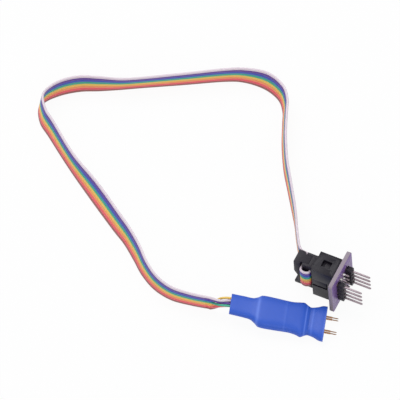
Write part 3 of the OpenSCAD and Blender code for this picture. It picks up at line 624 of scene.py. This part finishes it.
def ribbon_insulation(colours):
    """Soft insulation in stripes of one width that follow V, one to each conductor."""
    made, tree, shader = new_material("Ribbon insulation", INSULATION_ROUGHNESS)
    where = tree.nodes.new("ShaderNodeUVMap")
    where.uv_map = "UVMap"
    apart = tree.nodes.new("ShaderNodeSeparateXYZ")
    ramp = tree.nodes.new("ShaderNodeValToRGB")
    ramp.color_ramp.interpolation = "CONSTANT"
    stops = ramp.color_ramp.elements
    for k, colour in enumerate(colours):
        stop = stops[k] if k < 2 else stops.new(k / CONDUCTORS)
        stop.position = k / CONDUCTORS
        stop.color = (*colour, 1)
    link(tree, where.outputs["UV"], apart.inputs["Vector"])
    link(tree, apart.outputs["Y"], ramp.inputs["Fac"])
    add_mottle(tree, ramp.outputs["Color"], shader.inputs["Base Color"], amount=0.16, scale=260)
    add_grain(tree, shader, **INSULATION_GRAIN)
    return made


def wire_insulation(name, colour):
    """Insulation of one separated wire."""
    made, tree, shader = new_material(name, INSULATION_ROUGHNESS)
    add_mottle(tree, colour, shader.inputs["Base Color"], amount=0.16, scale=400)
    add_grain(tree, shader, **INSULATION_GRAIN)
    return made


def shrunk_film(settings):
    """Sleeve's film. The attribute is 0 in a hollow, where shade is painted, a half where
    the film lies flat, and 1 on a ridge, where a highlight is painted."""
    made, tree, shader = new_material("Blue shrunk film", roughness=0.42)
    # Painted light: 0 paints shade in the hollow, 1 paints a highlight on a ridge
    painted_light = tree.nodes.new("ShaderNodeAttribute")
    painted_light.attribute_name = "painted_light"
    ramp = tree.nodes.new("ShaderNodeValToRGB")
    stops = ramp.color_ramp.elements
    stops.new(0.5)
    for stop, colour in zip(stops, (settings.hollow_shade, settings.colour, settings.ridge_highlight)):
        stop.color = (*colour, 1)
    link(tree, painted_light.outputs["Fac"], ramp.inputs["Fac"])
    add_mottle(tree, ramp.outputs["Color"], shader.inputs["Base Color"], amount=0.10, scale=500)
    add_grain(
        tree, shader, distance=0.02 * MM, strength=0.35, Fine_scale=7000, Peel_scale=450
    )
    shader.inputs["Specular IOR Level"].default_value = 0.4
    return made


# ---------------------------------------------------------------- pieces


def dress(made, body, material, slot, *replaced):
    """Gives a piece its material and body, and hides the nodes that it stands for. The slot is
    not used.
    """
    made.data.materials.clear()
    made.data.materials.append(material)
    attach(made, body)
    if replaced:
        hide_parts(*replaced)


def recolour(node, material):
    """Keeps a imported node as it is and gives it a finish."""
    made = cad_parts[node]
    made.data.materials.clear()
    made.data.materials.append(material)


def eased_copy(node, name, width, edge=None):
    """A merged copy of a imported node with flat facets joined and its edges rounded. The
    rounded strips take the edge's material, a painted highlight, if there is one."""
    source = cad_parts[node]
    mesh = source.data.copy()
    mesh.name = name
    made = bpy.data.objects.new(name, mesh)
    bpy.context.scene.collection.objects.link(made)
    shell = bmesh.new()
    shell.from_mesh(mesh)
    bmesh.ops.remove_doubles(shell, verts=shell.verts, dist=MERGE_DISTANCE)
    bmesh.ops.dissolve_limit(
        shell, angle_limit=FLAT_ANGLE, verts=shell.verts, edges=shell.edges
    )
    shell.to_mesh(mesh)
    shell.free()
    mesh.shade_smooth()
    bevel = made.modifiers.new("Eased edges", "BEVEL")
    bevel.width = width
    bevel.segments = 2
    bevel.material = 1 if edge else 0
    bevel.limit_method = "ANGLE"
    bevel.angle_limit = EASE_ANGLE
    bevel.use_clamp_overlap = True
    bevel.harden_normals = True
    return made


def join_rings(name, pieces):
    """One object from several ring tubes, each closed by itself."""
    parts = [grid_object(f"{name}_{k}", rings) for k, rings in enumerate(pieces)]
    with bpy.context.temp_override(
        active_object=parts[0], object=parts[0], selected_editable_objects=parts,
        selected_objects=parts,
    ):
        bpy.ops.object.join()
    parts[0].name = name
    parts[0].data.name = name
    return parts[0]


class CABLE_OT_stage(bpy.types.Operator):
    """Floor, lights, sky and camera"""

    bl_idname = "cable.stage"
    bl_label = "Stage"

    def execute(self, context):
        scene = context.scene
        settings = scene.cable_stage
        scene.view_settings.view_transform = "Standard"
        self.floor(settings)
        self.lights(scene, settings)
        self.camera(scene)
        return {"FINISHED"}

    def seen_factor(self, tree):
        """1 for rays that the viewer, a reflection or a glass sends, otherwise 0."""
        path = tree.nodes.new("ShaderNodeLightPath")
        total = path.outputs["Is Camera Ray"]
        for name in ("Is Glossy Ray", "Is Transmission Ray"):
            add = tree.nodes.new("ShaderNodeMath")
            add.operation = "MAXIMUM"
            link(tree, total, add.inputs[0])
            link(tree, path.outputs[name], add.inputs[1])
            total = add.outputs[0]
        return total

    def floor(self, settings):
        """Square floor: plain for the light, nearly white for the rays that see it."""
        mesh = bpy.data.meshes.new("Floor")
        half = FLOOR_HALF
        corners = [(-half, -half, 0), (half, -half, 0), (half, half, 0), (-half, half, 0)]
        mesh.from_pydata(corners, [], [(0, 1, 2, 3)])
        floor = bpy.data.objects.new("Floor", mesh)
        bpy.context.scene.collection.objects.link(floor)
        made, tree, shader = new_material("Pale floor", roughness=0.9)
        shader.inputs["Base Color"].default_value = (*settings.floor, 1)
        shader.inputs["Specular IOR Level"].default_value = 0.1
        white = tree.nodes.new("ShaderNodeEmission")
        white.inputs["Color"].default_value = (1, 1, 1, 1)
        share = tree.nodes.new("ShaderNodeMath")
        share.operation = "MULTIPLY"
        share.inputs[1].default_value = FLOOR_WHITE
        mixed = tree.nodes.new("ShaderNodeMixShader")
        link(tree, self.seen_factor(tree), share.inputs[0])
        link(tree, share.outputs[0], mixed.inputs[0])
        link(tree, shader.outputs[0], mixed.inputs[1])
        link(tree, white.outputs[0], mixed.inputs[2])
        link(tree, mixed.outputs[0], tree.nodes["Material Output"].inputs["Surface"])
        mesh.materials.append(made)

    def lamp(self, name, power, size, place, target):
        """Square soft light at a place, turned to a target."""
        data = bpy.data.lights.new(name, "AREA")
        data.energy = power
        data.size = size
        made = bpy.data.objects.new(name, data)
        made.location = place
        aim = Vector(target) - Vector(place)
        made.rotation_euler = aim.to_track_quat("-Z", "Y").to_euler()
        bpy.context.scene.collection.objects.link(made)

    def lights(self, scene, settings):
        """Key and fill light, and a white sky."""
        aim = {"target": (-0.06, 0.01, 0)}
        self.lamp("Key", settings.key, size=0.6, place=(-0.35, 0.25, 0.75), **aim)
        self.lamp("Fill", settings.fill, size=0.8, place=(0.45, -0.55, 0.6), **aim)
        world = bpy.data.worlds.new("Sky")
        world.use_nodes = True
        sky = world.node_tree.nodes["Background"]
        sky.inputs["Color"].default_value = (1, 1, 1, 1)
        sky.inputs["Strength"].default_value = settings.world
        scene.world = world

    def camera(self, scene):
        """Parallel view of the target from above and to one side."""
        data = bpy.data.cameras.new("Camera")
        data.type = "ORTHO"
        data.ortho_scale = VIEW_WIDTH
        data.clip_end = 20
        made = bpy.data.objects.new("Camera", data)
        up = CAMERA_BACK.cross(CAMERA_RIGHT).normalized()
        right = up.cross(CAMERA_BACK)
        turn = Matrix((right, up, CAMERA_BACK)).transposed()
        made.matrix_world = Matrix.Translation(
            CAMERA_TARGET + CAMERA_BACK * CAMERA_DISTANCE
        ) @ turn.to_4x4()
        scene.collection.objects.link(made)
        scene.camera = made


class CABLE_OT_ribbon(bpy.types.Operator):
    """Ribbon: its free stretch, its fold in the connector and the separated wires"""

    bl_idname = "cable.ribbon"
    bl_label = "Ribbon"

    def execute(self, context):
        settings = context.scene.cable_ribbon
        low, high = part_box("ribbon_fold")
        width = high.z - low.z
        colours = [getattr(settings, c) for c in COLOURS]
        section = ribbon_section(width, settings.thickness, settings.groove, SAMPLES)
        insulation = ribbon_insulation(colours)
        middle, across, through, run = free_ribbon(
            RIBBON_STEPS, width, settings.thickness
        )
        free = grid_object(
            "rainbow_ribbon", ribbon_rings(middle, across, through, section),
            uv=ribbon_uv(middle, section, width),
        )
        dress(free, CABLE, insulation, "ribbon_insulation", "ribbon_cable")
        self.fold(low, high, width, section, settings.thickness, insulation)
        tails = self.tails(settings, middle[-1], across[-1], run[-1], width)
        return {"FINISHED"}

    def fold(self, low, high, width, section, thickness, insulation):
        """Held stretch: in along the socket, half an ellipse in front, and back out."""
        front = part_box("strain_relief")[0].y
        level = (low.z + high.z) / 2
        x_in = high.x - thickness / 2
        x_out = low.x + thickness / 2
        middle_x = (x_in + x_out) / 2
        out = front - low.y - thickness / 2
        straight = np.linspace(high.y, front, FOLD_STRAIGHT, endpoint=False)
        turn = np.linspace(0, math.pi, FOLD_TURN)
        x = np.concatenate([
            np.full(FOLD_STRAIGHT, x_in), middle_x + (x_in - middle_x) * np.cos(turn),
            np.full(FOLD_STRAIGHT, x_out),
        ])
        y = np.concatenate([straight, front - out * np.sin(turn), straight[::-1]])
        middle = np.stack([x, y, np.full_like(x, level)], axis=-1)
        run = directions(middle)
        across = np.tile([0.0, 0.0, 1.0], (len(middle), 1))
        through = np.cross(across, run)
        fold = grid_object(
            "ribbon_fold_loop", ribbon_rings(middle, across, through, section),
            uv=ribbon_uv(middle, section, width),
        )
        dress(fold, CABLE, insulation, "ribbon_insulation", "ribbon_fold")

    def tails(self, settings, end, across, run, width):
        """Separated wires, each a tube along a curve from its conductor to its pad."""
        made = []
        pitch = width / CONDUCTORS
        at = TAIL_STATIONS
        for k, colour in enumerate(COLOURS):
            free, entry, pad = TAILS[colour]
            start = end + (k - (CONDUCTORS - 1) / 2) * pitch * across
            layer = math.copysign(WIRE_SEAT, entry[1])
            points = np.vstack([
                start, start + WIRE_LEAD * run, start + 2 * WIRE_LEAD * run,
                head_points([
                    (at["middle"], *free), (at["entry"], *entry), (at["neck"], *entry),
                    (at["rise"], pad, layer), (at["end"], pad, layer),
                ]),
            ])
            wire = grid_object(
                f"{colour}_wire",
                tube_rings(catmull(points, WIRE_STEPS), settings.wire / 2, WIRE_SIDES),
            )
            insulation = wire_insulation(f"{colour.title()} wire", getattr(settings, colour))
            dress(wire, CABLE, insulation, f"wire_{colour}", f"tail_{colour}")
            made.append(wire)
        return made


class CABLE_OT_sleeve(bpy.types.Operator):
    """Blue shrunk sleeve of the probe head"""

    bl_idname = "cable.sleeve"
    bl_label = "Sleeve"
    # Steps from one station to the next, and points round a section
    steps = 10
    sides = 96

    def execute(self, context):
        settings = context.scene.cable_sleeve
        sections = self.sections()
        # Painted light of the outer and the inner film: highlight on the ridges, shade in the
        # hollow
        outer, painted_light = self.rings(sections, settings, 0)
        inner, flat = self.rings(sections[::-1], settings, settings.wall)
        sleeve = grid_object(
            "blue_sleeve", np.concatenate([outer, inner]), close_rows=True,
            attribute=("painted_light", np.concatenate([painted_light, flat])),
        )
        dress(sleeve, CABLE, shrunk_film(settings), "blue_sleeve", "heat_shrink_sleeve")
        return {"FINISHED"}

    def sections(self):
        """Stations joined by cubics whose slope at a station is the step from the one
        before to the one after, over their distance."""
        table = np.array(STATIONS, float)
        before = table[np.maximum(np.arange(len(table)) - 1, 0)]
        after = table[np.minimum(np.arange(len(table)) + 1, len(table) - 1)]
        slope = (after - before) / (after - before)[:, :1]
        t = (np.arange(self.steps) / self.steps)[None, :, None]
        a, b = table[:-1, None, :], table[1:, None, :]
        span = b[:, :, :1] - a[:, :, :1]
        curve = (
            (2 * t**3 - 3 * t**2 + 1) * a + (t**3 - 2 * t**2 + t) * span * slope[:-1, None, :]
            + (3 * t**2 - 2 * t**3) * b + (t**3 - t**2) * span * slope[1:, None, :]
        )
        return np.vstack([curve.reshape(-1, 4), table[-1:]])

    def rings(self, sections, settings, wall):
        """Superellipses across the head's axis, raised by narrow ridges, and the painted light
        at each point: a highlight on a ridge, shade in the hollow."""
        turn = np.linspace(0, 2 * math.pi, self.sides, endpoint=False)[None, :]
        cosine, sine = np.cos(turn), np.sin(turn)
        power = 2 / SLEEVE_POWER
        back, shift, narrow, low = (sections[:, k:k + 1] for k in range(4))
        raised = sum(height * bump(back, at, width) for at, height, width, _ in RIDGES)
        half_w = settings.width / 2 / MM - narrow - wall / MM
        half_h = settings.height / 2 / MM - low - wall / MM + raised
        across = shift + half_w * np.sign(cosine) * np.abs(cosine) ** power
        up = half_h * np.sign(sine) * np.abs(sine) ** power
        local = np.stack([-back - SLEEVE_SKEW * across, across, up], axis=-1)
        # Painted highlight over the ridges and painted shade in the hollow
        painted_light = 0.5 + sum(tone * bump(back, at, width) for at, _, width, tone in RIDGES)
        return head_points(local), np.clip(painted_light + 0 * turn, 0, 1)


class CABLE_OT_board(bpy.types.Operator):
    """Adapter's circuit board with its plated holes"""

    bl_idname = "cable.board"
    bl_label = "Adapter board"

    def execute(self, context):
        settings = context.scene.cable_connector
        metal = context.scene.cable_metal
        mask, tree, shader = new_material("Violet solder mask", roughness=0.34)
        shader.inputs["Specular IOR Level"].default_value = 0.25
        add_mottle(tree, settings.mask, shader.inputs["Base Color"], amount=0.3, scale=500)
        add_grain(
            tree, shader, distance=0.01 * MM, strength=0.3, Fine_scale=5000, Peel_scale=600
        )
        edge, tree, shader = new_material("Laminate edge", roughness=0.6)
        add_mottle(tree, settings.laminate, shader.inputs["Base Color"], amount=0.3, scale=2500)
        add_grain(
            tree, shader, distance=0.03 * MM, strength=0.6, Fine_scale=8000, Peel_scale=2500
        )
        board = eased_copy("adapter_board", "violet_board", BOARD_EASE)
        dress(board, ADAPTER, mask, "board_mask", "adapter_board")
        board.data.materials.append(edge)
        for face in board.data.polygons:
            face.material_index = 0 if abs(face.normal.x) > MASK_FACING else 1
        recolour("plated_holes", plain_metal("Gold plating", metal.plating, roughness=0.3))
        return {"FINISHED"}


class CABLE_OT_connector(bpy.types.Operator):
    """Shrouded header, socket, cover, strain relief and pin strips"""

    bl_idname = "cable.connector"
    bl_label = "Connector"

    def execute(self, context):
        settings = context.scene.cable_connector
        black = moulded_plastic("Black header plastic", settings.header, roughness=0.44)
        dark = moulded_plastic("Dark socket plastic", settings.socket, roughness=0.46)
        # The edge materials are the same plastics with a painted highlight along the rounded
        # edges
        black_highlight = highlighted_edge("Highlighted header edge", settings.header)
        dark_highlight = highlighted_edge("Highlighted socket edge", settings.socket)
        made = (
            ("box_header", "shrouded_header", ADAPTER, black, black_highlight, "black_plastic"),
            ("pin_strip_front", "front_pins", ADAPTER, black, black_highlight, "black_plastic"),
            ("pin_strip_back", "back_pins", ADAPTER, black, black_highlight, "black_plastic"),
            ("socket_body", "ribbon_socket", CABLE, dark, dark_highlight, "gray_plastic"),
            ("socket_cover", "ribbon_cover", CABLE, dark, dark_highlight, "gray_plastic"),
            ("strain_relief", "ribbon_clamp", CABLE, dark, dark_highlight, "gray_plastic"),
        )
        for node, name, body, material, edge, slot in made:
            piece = eased_copy(node, name, settings.edge, edge)
            dress(piece, body, material, slot, node)
            piece.data.materials.append(edge)
        return {"FINISHED"}


class CABLE_OT_pins(bpy.types.Operator):
    """Square pins, solder joints and the socket's contacts"""

    bl_idname = "cable.pins"
    bl_label = "Pins and solder"

    def execute(self, context):
        metal = context.scene.cable_metal
        tin = plain_metal("Tinned pin", metal.pin, roughness=0.5)
        solder = plain_metal(
            "Bright solder", metal.solder, roughness=0.25, scale=1800, unevenness=0.3
        )
        for node in ("header_pins", "strip_pins_front", "strip_pins_back"):
            pins = eased_copy(node, f"square_{node}", PIN_EASE)
            dress(pins, ADAPTER, tin, "pin_metal", node)
        recolour("strip_solder", solder)
        recolour("socket_contacts", plain_metal("Contact plating", metal.plating, roughness=0.35))
        self.joints(solder)
        return {"FINISHED"}

    def joints(self, solder):
        """Turned solder joints round the header's pins, whose side is a hollow curve."""
        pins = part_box("header_pins")
        low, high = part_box("header_solder")
        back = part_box("adapter_board")[0].x
        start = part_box("plated_holes")[1].x
        foot = (high.y - low.y - (pins[1].y - pins[0].y)) / 2 + PIN_WIDTH / 2
        waist = PIN_WIDTH * JOINT_WAIST
        t = np.linspace(0, 1, JOINT_POINTS)
        side = zip(start + (high.x - start) * t, waist + (foot - waist) * (1 - t) ** JOINT_HOLLOW)
        profile = [(back, POLE), (back, HOLE / 2), (start, HOLE / 2), *side, (high.x, POLE)]
        inset = Vector((0, PIN_WIDTH / 2, PIN_WIDTH / 2))
        first, last = pins[0] + inset, pins[1] - inset
        rings = [
            lathe_rings(profile, (0, y, z), JOINT_SIDES)
            for y in (first.y, last.y) for z in np.linspace(first.z, last.z, PINS_PER_ROW)
        ]
        dress(join_rings("hollow_joints", rings), ADAPTER, solder, "solder", "header_solder")


class CABLE_OT_probes(bpy.types.Operator):
    """Probe board, spring probes and what joins them"""

    bl_idname = "cable.probes"
    bl_label = "Spring probes"

    def execute(self, context):
        metal = context.scene.cable_metal
        settings = context.scene.cable_connector
        brass = plain_metal("Probe barrel", metal.barrel, roughness=0.45)
        steel = plain_metal("Probe plunger", metal.plunger, roughness=0.4)
        spring = plain_metal("Spring wire", metal.spring, roughness=0.25)
        solder = plain_metal("Board solder", metal.solder, roughness=0.25)
        gold = plain_metal("Board pads", metal.plating, roughness=0.3)
        mask, tree, shader = new_material("Probe board mask", roughness=0.3)
        add_mottle(tree, settings.mask, shader.inputs["Base Color"], amount=0.3, scale=500)
        recolour("probe_board", mask)
        recolour("probe_pads", gold)
        recolour("tail_solder", solder)
        recolour("barrel_solder", solder)
        for k in range(1, PROBES + 1):
            barrel = eased_copy(f"probe_barrel_{k}", f"brass_barrel_{k}", PROBE_EASE)
            dress(barrel, CABLE, brass, "barrel_metal", f"probe_barrel_{k}")
            plunger = eased_copy(f"probe_plunger_{k}", f"steel_plunger_{k}", PROBE_EASE)
            dress(plunger, f"plunger_{k}", steel, "plunger_metal", f"probe_plunger_{k}")
            recolour(f"probe_spring_{k}", spring)
        return {"FINISHED"}


OPERATORS = (
    CABLE_OT_stage, CABLE_OT_ribbon, CABLE_OT_sleeve, CABLE_OT_board, CABLE_OT_connector,
    CABLE_OT_pins, CABLE_OT_probes,
)


class CABLE_PT_looks(bpy.types.Panel):
    """Lists the pieces and their settings"""

    bl_label = "Probe Cable"
    bl_idname = "CABLE_PT_looks"
    bl_space_type = "VIEW_3D"
    bl_region_type = "UI"
    bl_category = "Probe Cable"

    def draw(self, context):
        for operator in OPERATORS:
            self.layout.operator(operator.bl_idname)
        for name in SETTINGS:
            group = getattr(context.scene, name)
            box = self.layout.box()
            for key in group.bl_rna.properties.keys():
                if key not in {"rna_type", "name"}:
                    box.prop(group, key)


def register():
    for name, group in SETTINGS.items():
        bpy.utils.register_class(group)
        setattr(bpy.types.Scene, name, PointerProperty(type=group))
    for made in (*OPERATORS, CABLE_PT_looks):
        bpy.utils.register_class(made)


def unregister():
    for made in reversed((*OPERATORS, CABLE_PT_looks)):
        bpy.utils.unregister_class(made)
    for name, group in SETTINGS.items():
        delattr(bpy.types.Scene, name)
        bpy.utils.unregister_class(group)


def main():
    """Makes every piece."""
    register()
    bpy.ops.cable.stage()
    bpy.ops.cable.ribbon()
    bpy.ops.cable.sleeve()
    bpy.ops.cable.board()
    bpy.ops.cable.connector()
    bpy.ops.cable.pins()
    bpy.ops.cable.probes()


if __name__ == "__main__":
    main()
